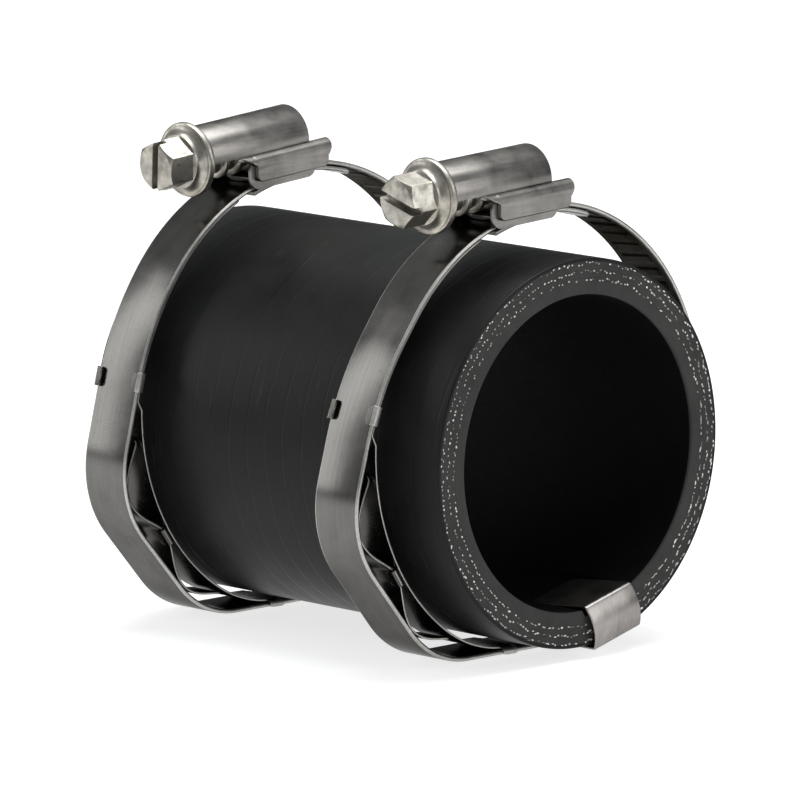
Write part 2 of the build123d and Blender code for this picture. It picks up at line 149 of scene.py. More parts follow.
def slab(outer, inner):
    """Points and faces of a sheet given by two equal grids, one for each of its sides."""
    rows, columns = len(outer), len(outer[0])
    points = [p for row in outer for p in row] + [p for row in inner for p in row]
    count = rows * columns

    def at(side, row, column):
        return side * count + row * columns + column

    faces = []
    for row in range(rows - 1):
        for column in range(columns - 1):
            square = [(row, column), (row, column + 1), (row + 1, column + 1), (row + 1, column)]
            faces.append(tuple(at(0, *corner) for corner in square))
            faces.append(tuple(at(1, *corner) for corner in reversed(square)))
    rim = [(0, c) for c in range(columns)] + [(r, columns - 1) for r in range(1, rows)]
    rim += [(rows - 1, c) for c in range(columns - 2, -1, -1)]
    rim += [(r, 0) for r in range(rows - 2, 0, -1)]
    for here, following in zip(rim, rim[1:] + rim[:1]):
        faces.append((at(0, *here), at(1, *here), at(1, *following), at(0, *following)))
    return points, faces


def lathe(profile, columns=192):
    """Points and faces of a closed profile of (x, radius) turned about the X axis."""
    points = []
    for x, radius in profile:
        for column in range(columns):
            angle = 360 * column / columns
            points.append((x, *polar(radius, angle)))
    rows = len(profile)
    faces = ring_faces(rows, columns, closed_ends=False)
    last = (rows - 1) * columns
    faces += [
        (last + c, last + (c + 1) % columns, (c + 1) % columns, c) for c in range(columns)
    ]
    return points, faces


# %% [markdown]
# ## Finishes: a short way to write node materials
#
# A finish is a small network of shader nodes. Writing each node in one line, with its inputs
# given by name, keeps a finish readable: an input is either a number or another node's
# output. All patterns are placed by object coordinates, so they stay on the piece.
# %% Node writer
class Finish:
    """A material under construction."""

    def __init__(self, name):
        self.material = bpy.data.materials.new(name)
        self.material.use_nodes = True
        self.tree = self.material.node_tree
        self.shader = self.tree.nodes["Principled BSDF"]
        self.place = self.tree.nodes.new("ShaderNodeTexCoord").outputs["Object"]

    def node(self, kind, output, settings=None, **inputs):
        made = self.tree.nodes.new("ShaderNode" + kind)
        for name, value in (settings or {}).items():
            setattr(made, name, value)
        for name, value in inputs.items():
            numbered = name[0] == "i" and name[1:].isdigit()
            socket = made.inputs[int(name[1:]) if numbered else name]
            if isinstance(value, bpy.types.NodeSocket):
                self.tree.links.new(value, socket)
            else:
                socket.default_value = value
        return made.outputs[output]

    def stretched(self, x, y, z):
        return self.node("Mapping", 0, i3=(x, y, z), i0=self.place)

    def noise(self, scale, detail=4.0, rough=0.6, place=None):
        pattern = {"Vector": place or self.place, "Scale": scale, "Detail": detail}
        return self.node("TexNoise", 0, Roughness=rough, **pattern)

    def span(self, value, low, high, out_low=0.0, out_high=1.0):
        return self.node("MapRange", 0, i0=value, i1=low, i2=high, i3=out_low, i4=out_high)

    def maths(self, operation, a, b=0.0):
        return self.node("Math", 0, {"operation": operation}, i0=a, i1=b)

    def blend(self, factor, a, b):
        return self.node("Mix", 2, {"data_type": "RGBA"}, i0=factor, i6=a, i7=b)

    def bump(self, height, depth, strength=1.0):
        return self.node("Bump", 0, Height=height, Distance=depth, Strength=strength)

    def set(self, **inputs):
        for name, value in inputs.items():
            socket = self.shader.inputs[name.replace("_", " ")]
            if isinstance(value, bpy.types.NodeSocket):
                self.tree.links.new(value, socket)
            else:
                socket.default_value = value
        return self.material


# %% [markdown]
# ## Steel strip
#
# The clamp strip is cold-rolled stainless: almost a mirror, with very fine lines along its
# length and soft cloudy stains. A noise squeezed across the strip makes the lines, and a
# slow noise varies roughness so that reflections break up a little.
# %% Metal finishes
def metal(name, dark, light, smooth, rough, grain, grain_depth, stain_scale=90.0, glance=0.5):
    """Bare metal whose fine lines follow the direction in which grain is smallest. glance is
    how much of the light it gives back when it is seen nearly edge on."""
    make = Finish(name)
    lines = make.noise(1.0, 3.0, 0.6, make.stretched(*grain))
    stains = make.noise(stain_scale, 5.0, 0.65)
    specks = make.noise(1400.0, 2.0, 0.5)
    tone = make.maths("ADD", make.maths("MULTIPLY", stains, 0.7), make.maths("MULTIPLY", lines, 0.3))
    colour = make.blend(make.span(tone, 0.35, 0.65), dark, light)
    rubbed = make.span(stains, 0.3, 0.75, smooth, rough)
    worn = make.maths("ADD", rubbed, make.span(specks, 0.6, 0.85, 0.0, 0.06))
    tint = (glance, glance, glance, 1)
    make.set(Base_Color=colour, Metallic=1.0, Roughness=worn, Specular_Tint=tint)
    return make.set(Normal=make.bump(lines, grain_depth, 0.6))


strip_steel = metal(
    "rolled_strip_steel", (0.105, 0.103, 0.098, 1), (0.175, 0.171, 0.163, 1), 0.17, 0.30,
    (5200, 70, 70), 0.000004)
liner_steel = metal(
    "spring_liner_steel", (0.065, 0.063, 0.06, 1), (0.13, 0.126, 0.118, 1), 0.20, 0.36,
    (4200, 90, 90), 0.000004)
housing_steel = metal(
    "pressed_housing_steel", (0.155, 0.149, 0.14, 1), (0.30, 0.288, 0.27, 1), 0.26, 0.42,
    (2600, 120, 2600), 0.000008, 160.0)
clip_steel = metal(
    "bright_clip_steel", (0.20, 0.187, 0.177, 1), (0.37, 0.352, 0.335, 1), 0.26, 0.40,
    (2600, 2600, 160), 0.000006)
# Painted shade: the tail is the same strip steel, given a darker colour and a weaker edge-on glance so
# that it reads dark.
painted_shade_tail_steel = metal(
    "grooved_tail_steel", (0.075, 0.072, 0.068, 1), (0.145, 0.141, 0.133, 1), 0.27, 0.42,
    (5200, 70, 70), 0.000004, glance=0.22)
# Cut edges: partly the sheared edge's own finish and partly a painted highlight, because this copy of the
# strip steel is several times brighter than the strip.
sheared_edge_and_highlight = metal(
    "sheared_edge_steel", (0.34, 0.333, 0.316, 1), (0.60, 0.588, 0.56, 1), 0.34, 0.50,
    (500, 2400, 2400), 0.00001, glance=0.4)
print("metal finishes made")

# %% [markdown]
# ## Plated screw
#
# The worm screw is turned steel with a thin warm plating. Its surface is mottled rather than
# lined, with duller patches, small pits and a slightly yellow tint in the shadows.
# %% Plated screw finish
def plated_screw():
    make = Finish("plated_screw_steel")
    patches = make.noise(420.0, 6.0, 0.65)
    pits = make.noise(2600.0, 3.0, 0.6)
    tint = make.noise(150.0, 3.0, 0.5)
    warm = make.blend(make.span(tint, 0.35, 0.7), (0.58, 0.56, 0.51, 1), (0.63, 0.58, 0.48, 1))
    colour = make.blend(make.span(patches, 0.35, 0.72, 0.0, 0.85), (0.24, 0.23, 0.205, 1), warm)
    rough = make.span(patches, 0.3, 0.7, 0.46, 0.27)
    height = make.maths("MULTIPLY", patches, 0.7)
    height = make.maths("ADD", height, make.maths("MULTIPLY", pits, 0.3))
    relief = make.bump(height, 0.00006, 0.55)
    return make.set(Base_Color=colour, Metallic=1.0, Roughness=rough, Normal=relief)


screw_plating = plated_screw()

# %% [markdown]
# ## Rubber and yarn
#
# The cover was wrapped tightly with tape while it cured, which leaves faint lines that wind
# round the hose. Below its dull skin it is black with scuffs. The cut end is greyer and full
# of fine specks, and the yarn in it is off-white.
# %% Rubber finishes
WRAP_PITCH = 4.0 * MM


def cover_rubber():
    make = Finish("wrapped_cover_rubber")
    split = make.tree.nodes.new("ShaderNodeSeparateXYZ")
    make.tree.links.new(make.place, split.inputs[0])
    turn = make.maths("DIVIDE", make.maths("ARCTAN2", split.outputs[2], split.outputs[1]), 2 * math.pi)
    wander = make.span(make.noise(60.0, 2.0, 0.5), 0.3, 0.7, -0.10, 0.10)
    along = make.maths("ADD", make.maths("DIVIDE", split.outputs[0], WRAP_PITCH), wander)
    phase = make.maths("FRACT", make.maths("ADD", along, turn))
    seam = make.span(make.maths("ABSOLUTE", make.maths("SUBTRACT", phase, 0.5)), 0.0, 0.06, 1.0, 0.0)
    cloud = make.noise(45.0, 6.0, 0.65)
    grain = make.noise(1900.0, 4.0, 0.7)
    scuffs = make.noise(1.0, 4.0, 0.75, make.stretched(700, 60, 120))
    base = make.blend(make.span(cloud, 0.35, 0.7), (0.0056, 0.0062, 0.0056, 1), (0.0125, 0.014, 0.0125, 1))
    scuffed = make.blend(make.span(scuffs, 0.60, 0.80, 0.0, 0.5), base, (0.040, 0.042, 0.038, 1))
    dusted = make.blend(make.span(grain, 0.66, 0.78, 0.0, 0.4), scuffed, (0.10, 0.10, 0.092, 1))
    rough = make.maths("ADD", make.span(cloud, 0.3, 0.7, 0.34, 0.50), make.maths("MULTIPLY", seam, -0.12))
    height = make.maths("ADD", make.maths("MULTIPLY", seam, -0.6), make.maths("MULTIPLY", grain, 0.35))
    relief = make.bump(height, 0.00006, 0.5)
    return make.set(Base_Color=dusted, Roughness=rough, Normal=relief, Specular_IOR_Level=0.12)


def cut_rubber(name, dark, light, speck, rough_low, shine=0.2):
    """Sawn rubber: speckled, with a fine torn grain."""
    make = Finish(name)
    cloud = make.noise(140.0, 5.0, 0.65)
    grain = make.noise(3300.0, 4.0, 0.75)
    base = make.blend(make.span(cloud, 0.3, 0.7), dark, light)
    colour = make.blend(make.span(grain, 0.60, 0.74, 0.0, 0.55), base, speck)
    rough = make.span(grain, 0.3, 0.7, rough_low, rough_low + 0.2)
    relief = make.bump(grain, 0.00012, 0.6)
    return make.set(Base_Color=colour, Roughness=rough, Normal=relief, Specular_IOR_Level=shine)


def yarn_ends():
    make = Finish("cut_yarn")
    shade = make.noise(700.0, 3.0, 0.6)
    fuzz = make.noise(6000.0, 3.0, 0.7)
    colour = make.blend(make.span(shade, 0.40, 0.62), (0.16, 0.16, 0.15, 1), (0.80, 0.80, 0.76, 1))
    return make.set(Base_Color=colour, Roughness=0.9, Normal=make.bump(fuzz, 0.0001, 0.7))


cover_finish = cover_rubber()
end_finish = cut_rubber(
    "sawn_end_rubber", (0.026, 0.027, 0.0253, 1), (0.042, 0.043, 0.0403, 1),
    (0.13, 0.13, 0.124, 1), 0.62)
bore_finish = cut_rubber(
    "smooth_bore_rubber", (0.0010, 0.0010, 0.0009, 1), (0.0026, 0.0026, 0.0024, 1),
    (0.006, 0.006, 0.006, 1), 0.55, 0.08)
yarn_finish = yarn_ends()
print("rubber finishes made")

# %% [markdown]
# ## Measures from the fixed model
#
# Nothing is measured twice. The hose's length and the radii of its layers are the sides of
# the fixed nodes' boxes. A clamp's loop is described in its own plane, so its centre and lean
# come from the joints: the strip's end is drawn round the loop's centre, and the screw turns
# about its own axis.
# %% Measures
def low(node, axis):
    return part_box(node)[0][axis] / MM


def high(node, axis):
    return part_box(node)[1][axis] / MM


HALF_HOSE = high("hose_cover", 0)
HOSE_RADIUS = high("hose_cover", 2)
BORE_RADIUS = frame["record"]["mounts"][0]["dims"]["r_mm"]
FLOOR = low("near_band", 2)
joints = {joint["name"]: joint for joint in frame["joints"]}
print("hose", 2 * HALF_HOSE, "long,", HOSE_RADIUS, "radius, floor at", FLOOR)

# %% [markdown]
# ## Strips that follow a path
#
# Clamps, liners and clips are all sheet steel bent along a path. A path is written as a
# turtle would walk it: straight runs and bends. Walking it gives stations, each with a place
# and a heading. A strip is then two grids of points, one on each face, whose long edges are
# rounded a little so that they catch a bright line of light.
# %% Paths and strips
EDGE_STEPS = (0.0, 0.3, 0.6, 0.85, 1.0)


def smooth(value, start, end):
    """Goes softly from 0 at start to 1 at end."""
    part = min(max((value - start) / (end - start), 0.0), 1.0)
    return part * part * (3 - 2 * part)


def walk(start, heading, steps, spacing=0.6):
    """Stations (y, z, heading) along runs and bends; left turns are positive."""
    y, z = start
    stations = [(y, z, heading)]
    for step in steps:
        length = step[1] if step[0] == "run" else step[1] * math.radians(abs(step[2]))
        turn = 0.0 if step[0] == "run" else step[2]
        count = max(1, math.ceil(length / spacing))
        for _ in range(count):
            chord = polar(length / count, heading + turn / count / 2)
            y, z = y + chord[0], z + chord[1]
            heading += turn / count
            stations.append((y, z, heading))
    return stations


def inset(station, depth):
    """The point beside a station, to the left of its heading."""
    y, z, heading = station
    side = polar(depth, heading + 90)
    return y + side[0], z + side[1]


def distances(stations):
    """How far each station is along its path."""
    walked = [0.0]
    for here, following in zip(stations, stations[1:]):
        walked.append(walked[-1] + math.dist(here[:2], following[:2]))
    return walked


def columns_across(half, rounding, flat):
    """Places across a strip, each with how far the edge rounding drops there."""
    inner = half - rounding
    edge = [(inner + rounding * e, rounding * (1 - math.sqrt(1 - e * e))) for e in EDGE_STEPS]
    left = [(-x, drop) for x, drop in reversed(edge)]
    middle = [(-inner + 2 * inner * i / flat, 0.0) for i in range(1, flat)]
    return left + middle + edge


def strip(stations, half, outer, inner, rounding=0.33, flat=2, round_start=0.0, round_end=0.0,
          emboss=None, shear=0.0):
    """Sheet between two insets of a path. The ends' corners can be rounded, a pattern pressed
    through, and the rows slanted. Points are (across, y, z)."""
    walked = distances(stations)
    total = walked[-1]
    grids = ([], [])
    for station, along in zip(stations, walked):
        width = half
        for corner, left in ((round_start, along), (round_end, total - along)):
            if corner and left < corner:
                width = min(width, half - corner + math.sqrt(corner**2 - (corner - left) ** 2))
        lean = shear * smooth(min(along, total - along), 0.0, 3.0)
        rows = ([], [])
        for x, drop in columns_across(width, rounding, flat):
            top, bottom = outer + drop, inner - drop
            if emboss:
                pressed = emboss(along, x)
                top, bottom = top + pressed[0], bottom + pressed[1]
            slid = polar(lean * x, station[2])
            for row, depth in zip(rows, (top, bottom)):
                y, z = inset(station, depth)
                row.append((x, y + slid[0], z + slid[1]))
        grids[0].append(rows[0])
        grids[1].append(rows[1])
    return slab(*grids)


def merge(*parts):
    """Several lots of points and faces as one."""
    points, faces = [], []
    for part_points, part_faces in parts:
        first = len(points)
        points += part_points
        faces += [tuple(first + i for i in face) for face in part_faces]
    return points, faces


def moved(part, matrix):
    """Points put in another place, with the same faces."""
    return [tuple(matrix @ Vector(p)) for p in part[0]], part[1]


# %% [markdown]
# ## One clamp's loop
#
# A loose clamp isn't round. Its strip lies on a circle under the screw, then runs down the
# slack side in two nearly straight stretches with a crease between them, lies flat on the
# floor, and comes up again as the tail. These are the same bends as in the fixed model, and
# the few sizes that can be measured from it are measured.
# %% Clamp loops
STRIP_HALF = 4.5
STRIP_SHEET = 0.7
LAYER_GAP = 0.15
TONGUE_ANGLE = 66.8
LEAVE_ANGLE = 140.0
TAIL_TIP_ANGLE = 103.0
SPLIT_ANGLE = -25.0
LEFT_HEADING = 251.0
LOWER_HEADING = 306.5
CREASE_ANGLE = 193.5
BEND_RADII = (45.0, 16.0, 16.0)
BULGES = {"near": 8.0, "far": 6.7}
LINER_SLACKS = {"near": 5.15, "far": 4.9}
SLOT_TURNS = {"near": 17.5, "far": -83.0}


def meeting(point_a, heading_a, point_b, heading_b):
    """Where two lines cross, each given by a point and a heading."""
    ax, ay = polar(1, heading_a)
    bx, by = polar(1, heading_b)
    reach = ((point_b[0] - point_a[0]) * by - (point_b[1] - point_a[1]) * bx) / (ax * by - ay * bx)
    return point_a[0] + ax * reach, point_a[1] + ay * reach


class Clamp:
    """Where a clamp stands and the sizes of its loop, in millimetres."""

    def __init__(self, name):
        self.name = name
        centre = Vector(joints[name + "_tail_draw"]["pos_m"])
        turn = joints[name + "_screw_turn"]
        self.tilt = math.degrees(math.atan2(turn["axis"][2], turn["axis"][1]))
        lean = Matrix.Rotation(math.radians(self.tilt), 4, "X")
        self.to_row = Matrix.Translation(centre) @ lean
        self.radius = high(name + "_band_tail", 1) - centre.y / MM
        self.foot = centre.z / MM - FLOOR
        self.axis_height = (Vector(turn["pos_m"]) - centre).length / MM
        self.circle = self.radius - STRIP_SHEET - LAYER_GAP
        self.crease = polar(self.radius + BULGES[name], CREASE_ANGLE)
        self.landing_angle = math.radians(SPLIT_ANGLE + self.tilt)
        print(name, "clamp: radius", round(self.radius, 2), "lean", round(self.tilt, 2))

    def point(self, y, z):
        """A place in the loop's plane, in metres in the row frame."""
        return self.to_row @ Vector((0, y * MM, z * MM))

    def landing(self, circle, angle, depth):
        """Radius of the arc that leaves a circle at an angle and meets the flat foot."""
        return (circle * math.sin(angle) + depth) / (1 + math.sin(angle))

    def path(self):
        """Steps of the strip's outer face down the slack side, and then along the foot and up."""
        leave = polar(self.circle, LEAVE_ANGLE)
        shoulder = meeting(leave, LEAVE_ANGLE + 90, self.crease, LEFT_HEADING)
        tilt = math.radians(self.tilt)
        foot_line = (-self.foot * math.sin(tilt), -self.foot * math.cos(tilt))
        heel = meeting(self.crease, LOWER_HEADING, foot_line, 360 - self.tilt)
        headings = (LEAVE_ANGLE + 90, LEFT_HEADING, LOWER_HEADING, 360 - self.tilt)
        turns = [b - a for a, b in zip(headings, headings[1:])]
        cuts = [r * math.tan(math.radians(t / 2)) for r, t in zip(BEND_RADII, turns)]
        heel_run = heel[0] * math.cos(tilt) - heel[1] * math.sin(tilt)
        arc = self.landing(self.radius, self.landing_angle, self.foot)
        toe = (self.radius - arc) * math.cos(self.landing_angle)
        slack_side = [
            ("bend", self.circle, LEAVE_ANGLE - TONGUE_ANGLE),
            ("run", math.dist(leave, shoulder) - cuts[0]),
            ("bend", BEND_RADII[0], turns[0]),
            ("run", math.dist(shoulder, self.crease) - cuts[0] - cuts[1]),
            ("bend", BEND_RADII[1], turns[1]),
            ("run", math.dist(self.crease, heel) - cuts[1] - cuts[2]),
            ("bend", BEND_RADII[2], turns[2]),
            ("run", -heel_run - cuts[2]),
        ]
        foot_and_rise = [("run", toe), ("bend", arc, 90 + SPLIT_ANGLE + self.tilt)]
        return slack_side, foot_and_rise


clamps = [Clamp("near"), Clamp("far")]

# %% [markdown]
# ## Strip: slack side and foot
#
# The strip of a real clamp is one band of steel. When the screw turns, it draws the tail up
# through the housing, and the loop shrinks. Here the slack side keeps its shape and rides on
# the clamp, while the stretch from the middle of the foot to the tail is its own piece, which
# stays where it is made and rides on no body.
# %% Strip pieces
TIP_ROUNDING = 3.0


def band_pieces(clamp):
    slack_side, foot_and_rise = clamp.path()
    start = polar(clamp.circle, TONGUE_ANGLE)
    stations = walk(start, TONGUE_ANGLE + 90, slack_side)
    points, faces = strip(stations, STRIP_HALF, 0, STRIP_SHEET, round_start=TIP_ROUNDING)
    left = make_mesh(clamp.name + "_strip", points, faces, clamp.to_row)
    dress(left, strip_steel, "band_steel", clamp.name + "_clamp", clamp.name + "_band", edge=sheared_edge_and_highlight)
    y, z, heading = stations[-1]
    stations = walk((y, z), heading, foot_and_rise)
    points, faces = strip(stations, STRIP_HALF, 0, STRIP_SHEET)
    rise = make_mesh(clamp.name + "_strip_rise", points, faces, clamp.to_row)
    dress(rise, strip_steel, "band_steel", None, clamp.name + "_band", edge=sheared_edge_and_highlight)
    end = stations[-1]
    clamp.point(y, z)
    clamp.point(*end[:2])
    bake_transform(rise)


for clamp in clamps:
    band_pieces(clamp)

# %% [markdown]
# ## Tail with its grooves
#
# The tail is a rack for the worm. A punch presses slanted grooves into the outer face, and
# the metal stands out on the inner face as low ribs, which is the side that shows through the
# open loop. The rows of the mesh are slanted with the grooves so that their edges are clean.
# %% Tail
GROOVE_DEPTH = 0.5
GROOVE_LENGTH = 1.75
GROOVE_HALF = 3.2
GROOVE_WALL = 0.35
GROOVES_BELOW = 21
GROOVES_ABOVE = 2
RIB_HEIGHT = 0.14
THREAD_PITCH = 3.0
THREAD_RADIUS = 3.85


def tail_piece(clamp):
    steps = [("bend", clamp.radius, TAIL_TIP_ANGLE - SPLIT_ANGLE)]
    stations = walk(polar(clamp.radius, SPLIT_ANGLE), SPLIT_ANGLE + 90, steps, 0.175)
    groove_step = math.degrees(THREAD_PITCH / (clamp.radius - GROOVE_DEPTH / 2))
    turns = range(-GROOVES_BELOW, GROOVES_ABOVE + 1)
    grooves = [clamp.radius * math.radians(90 + k * groove_step - SPLIT_ANGLE) for k in turns]

    def emboss(along, x):
        gap = min(abs(along - groove) for groove in grooves) - GROOVE_LENGTH / 2
        depth = 1 - smooth(gap, -GROOVE_WALL / 2, GROOVE_WALL / 2)
        depth *= 1 - smooth(abs(x), GROOVE_HALF - GROOVE_WALL, GROOVE_HALF)
        return GROOVE_DEPTH * depth, RIB_HEIGHT * depth

    slant = THREAD_PITCH / (2 * math.pi * THREAD_RADIUS)
    points, faces = strip(stations, STRIP_HALF, 0, STRIP_SHEET, flat=26, round_end=TIP_ROUNDING,
                          emboss=emboss, shear=slant)
    tail = make_mesh(clamp.name + "_tail_strip", points, faces, clamp.to_row)
    dress(tail, painted_shade_tail_steel, "band_steel", clamp.name + "_tail", clamp.name + "_band_tail",
          edge=sheared_edge_and_highlight)


for clamp in clamps:
    tail_piece(clamp)

# %% [markdown]
# ## Tabs
#
# Small tabs fold from the liner's edges round the strip beside it. A tab is a very short
# strip whose path lies across the liner: out from the edge, up beside the strip, and in over
# its face.
# %% Tabs
TAB_SHEET = 0.4
TAB_LENGTH = 3.0
TAB_GAP = 0.1
TAB_LIP = 1.3
TAB_BEND = 0.3
LINER_SHEET = 0.3
LINER_HALF = 4.2


def tab_pair(y, z, facing, inner_face, depth, lip):
    """Two tabs that stand on a strip at a place in the loop's plane, facing outwards."""
    seat = min(inner_face, LINER_HALF) - 2 * TAB_SHEET
    steps = [
        ("run", inner_face - TAB_BEND - seat),
        ("bend", TAB_BEND + TAB_SHEET, 90),
        ("run", depth - 2 * (TAB_BEND + TAB_SHEET) + (0 if lip else TAB_BEND + TAB_SHEET)),
    ]
    if lip:
        steps += [("bend", TAB_BEND + TAB_SHEET, 90), ("run", lip - TAB_SHEET)]
    stations = walk((seat, 0.0), 0.0, steps, 0.12)
    flat = strip(stations, TAB_LENGTH / 2, 0, TAB_SHEET, 0.1, 2, 0.0, 0.5)
    up = Vector((0, *polar(1, facing)))
    along = Vector((0, *polar(1, facing - 90)))
    pair = []
    for side in (-1, 1):
        turn = Matrix((along, (side, 0, 0), up)).transposed().to_4x4()
        pair.append(moved(flat, Matrix.Translation((0, y, z)) @ turn))
    return merge(*pair)


# %% [markdown]
# ## Liner and wave spring
#
# Inside the slack side sits a thin springy liner. Its upper part lies against the strip, it
# steps inwards past a pair of tabs, and its lower half hangs free as a half circle round the
# hose. A still thinner wave strip is tabbed to it, and its two humps press against the strip,
# which keeps the pull of the clamp steady.
# %% Liner and wave
LINER_START = 108.0
JOGGLE_ANGLE = 172.0
JOGGLE_SPAN = 2.5
LINER_LANDING = 232.0
LINER_RUN = 1.0
BAND_TAB_ANGLE = 167.5
UNDER_STRIP = STRIP_SHEET + TAB_GAP
WAVE_SHEET = 0.35
WAVE_HALF = 3.2
WAVE_GAP = 0.12
HUMPS = ((195.0, 13.0), (224.0, 12.0))
HUMP_SHARE = 0.86
HUMP_ROUNDNESS = 0.72
WAVE_STATIONS = 140


def angle_of(station):
    return math.degrees(math.atan2(station[1], station[0])) % 360


def liner_piece(clamp):
    slack_side = clamp.path()[0]
    face = walk(polar(clamp.circle, TONGUE_ANGLE), TONGUE_ANGLE + 90, slack_side)
    wanted = [s for s in face[:-1] if LINER_START < angle_of(s) < JOGGLE_ANGLE]
    upper = [(*inset(s, UNDER_STRIP), s[2]) for s in wanted]
    circle = HOSE_RADIUS + LINER_SLACKS[clamp.name]
    bend = clamp.landing(circle, math.radians(LINER_LANDING + clamp.tilt), clamp.foot - UNDER_STRIP)
    first = JOGGLE_ANGLE + JOGGLE_SPAN
    free = [
        ("bend", circle, LINER_LANDING - first),
        ("bend", bend, 270 - LINER_LANDING - clamp.tilt),
        ("run", LINER_RUN),
    ]
    lower = walk(polar(circle, first), first + 90, free)
    parts = [strip(upper + lower, LINER_HALF, 0, LINER_SHEET, 0.1, 2, 1.5, 1.0)]
    near_tab = min(face[:-1], key=lambda s: abs(angle_of(s) - BAND_TAB_ANGLE))
    seat = inset(near_tab, UNDER_STRIP + LINER_SHEET)
    depth = LINER_SHEET + STRIP_SHEET + 2 * TAB_GAP + TAB_SHEET
    parts.append(tab_pair(*seat, near_tab[2] - 90, STRIP_HALF + TAB_GAP, depth, TAB_LIP))
    end = min(lower, key=lambda s: abs(math.dist(s[:2], lower[-1][:2]) - TAB_LENGTH / 2))
    seat = inset(end, LINER_SHEET)
    depth = LINER_SHEET + UNDER_STRIP
    parts.append(tab_pair(*seat, end[2] - 90, STRIP_HALF + TAB_GAP, depth, 0))
    middle = (HUMPS[0][0] + HUMPS[0][1] + HUMPS[1][0] - HUMPS[1][1]) / 2
    seat = polar(circle - LINER_SHEET, middle)
    depth = LINER_SHEET + WAVE_SHEET + 2 * WAVE_GAP + TAB_SHEET
    parts.append(tab_pair(*seat, middle, WAVE_HALF + TAB_GAP, depth, TAB_LIP))
    liner = make_mesh(clamp.name + "_spring_liner", *merge(*parts), clamp.to_row)
    dress(liner, liner_steel, "spring_steel", clamp.name + "_clamp", clamp.name + "_liner",
          edge=sheared_edge_and_highlight)
    return circle, face


def wave_piece(clamp, circle, face):
    base = circle + WAVE_GAP
    cover = STRIP_SHEET + WAVE_GAP + WAVE_SHEET
    reach = {}
    for middle, _ in HUMPS:
        nearest = min(face, key=lambda s: abs(angle_of(s) - middle))
        reach[middle] = math.hypot(*nearest[:2]) - cover - base
    first = HUMPS[0][0] - HUMPS[0][1]
    last = HUMPS[1][0] + HUMPS[1][1]
    places = []
    for i in range(WAVE_STATIONS + 1):
        angle = first + (last - first) * i / WAVE_STATIONS
        lift = 0.0
        for middle, half in HUMPS:
            if abs(angle - middle) < half:
                swell = (1 + math.cos(math.pi * (angle - middle) / half)) / 2
                lift = HUMP_SHARE * reach[middle] * swell**HUMP_ROUNDNESS
        places.append(polar(base + lift, angle))
    stations = []
    for i, (y, z) in enumerate(places):
        before, after = places[max(i - 1, 0)], places[min(i + 1, WAVE_STATIONS)]
        heading = math.degrees(math.atan2(after[1] - before[1], after[0] - before[0]))
        stations.append((y, z, heading))
    points, faces = strip(stations, WAVE_HALF, -WAVE_SHEET, 0, 0.1, 2, 1.0, 1.0)
    wave = make_mesh(clamp.name + "_wave_strip", points, faces, clamp.to_row)
    dress(wave, liner_steel, "spring_steel", clamp.name + "_clamp", clamp.name + "_wave_spring",
          edge=sheared_edge_and_highlight)


for clamp in clamps:
    wave_piece(clamp, *liner_piece(clamp))

# %% [markdown]
# ## Saddle
#
# The saddle is a channel that holds strip and housing together. Its floor curves under the
# strip, and its two side walls have rounded corners that peep out below and ahead of the
# housing's flaps. The walls are rounded rectangles given a thickness.
# %% Saddle
LEDGE_DROP = 0.55
HOUSING_SHEET = 0.7
SADDLE_SHEET = 0.6
SADDLE_ENDS = (-9.7, 4.1)
SADDLE_CORNER = 1.6
SADDLE_LIP = 0.25
SEAT_GAP = 0.02
SADDLE_SLACK = 0.2
SADDLE_HALF = STRIP_HALF + SADDLE_SLACK + SADDLE_SHEET
CORNER_STEPS = 8
PLATE_SOFTNESS = 0.12


def rounded_plate(ends, bottom, top, corner, inside, outside):
    """Upright plate with rounded corners, between two places across the strip. Each level is a
    ring pulled in by a little, or pulled in to the middle to close the plate's face."""
    outline = []
    places = ((0, ends[1], top), (90, ends[0], top), (180, ends[0], bottom), (270, ends[1], bottom))
    for start, y, z in places:
        turn_y = -corner if y == ends[1] else corner
        turn_z = -corner if z == top else corner
        for i in range(CORNER_STEPS + 1):
            around = polar(corner, start + 90 * i / CORNER_STEPS)
            outline.append((y + turn_y + around[0], z + turn_z + around[1]))
    middle = ((ends[0] + ends[1]) / 2, (bottom + top) / 2)
    soft = PLATE_SOFTNESS
    levels = (
        (inside, None), (inside, soft), (outside - soft, 0.0), (outside, soft), (outside, None))
    rings = []
    for x, pull in levels:
        shrunk = []
        for y, z in outline:
            keep = 0.0 if pull is None else 1 - pull / math.dist((y, z), middle)
            shrunk.append((x, middle[0] + (y - middle[0]) * keep, middle[1] + (z - middle[1]) * keep))
        rings.append(shrunk)
    points = [p for ring in rings for p in ring]
    return points, ring_faces(len(rings), len(outline), closed_ends=False)


def saddle_piece(clamp):
    top = clamp.axis_height - LEDGE_DROP - HOUSING_SHEET - SEAT_GAP
    seat = clamp.circle - STRIP_SHEET - SEAT_GAP
    bottom = seat - SADDLE_SHEET - SADDLE_LIP
    parts = []
    for side in (-1, 1):
        wall = (side * (SADDLE_HALF - SADDLE_SHEET), side * SADDLE_HALF)
        parts.append(rounded_plate(SADDLE_ENDS, bottom, top, SADDLE_CORNER, *wall))
    ends = [end - math.copysign(SADDLE_CORNER / 2, end) for end in SADDLE_ENDS]
    reach = [math.degrees(math.asin(end / seat)) for end in ends]
    steps = [("bend", seat, reach[1] - reach[0])]
    stations = walk(polar(seat, 90 - reach[1]), 180 - reach[1], steps)
    parts.append(strip(stations, SADDLE_HALF - SADDLE_SHEET / 2, 0, SADDLE_SHEET, 0.1))
    saddle = make_mesh(clamp.name + "_channel_saddle", *merge(*parts), clamp.to_row)
    dress(saddle, housing_steel, "housing_steel", clamp.name + "_clamp", clamp.name + "_saddle")


for clamp in clamps:
    saddle_piece(clamp)

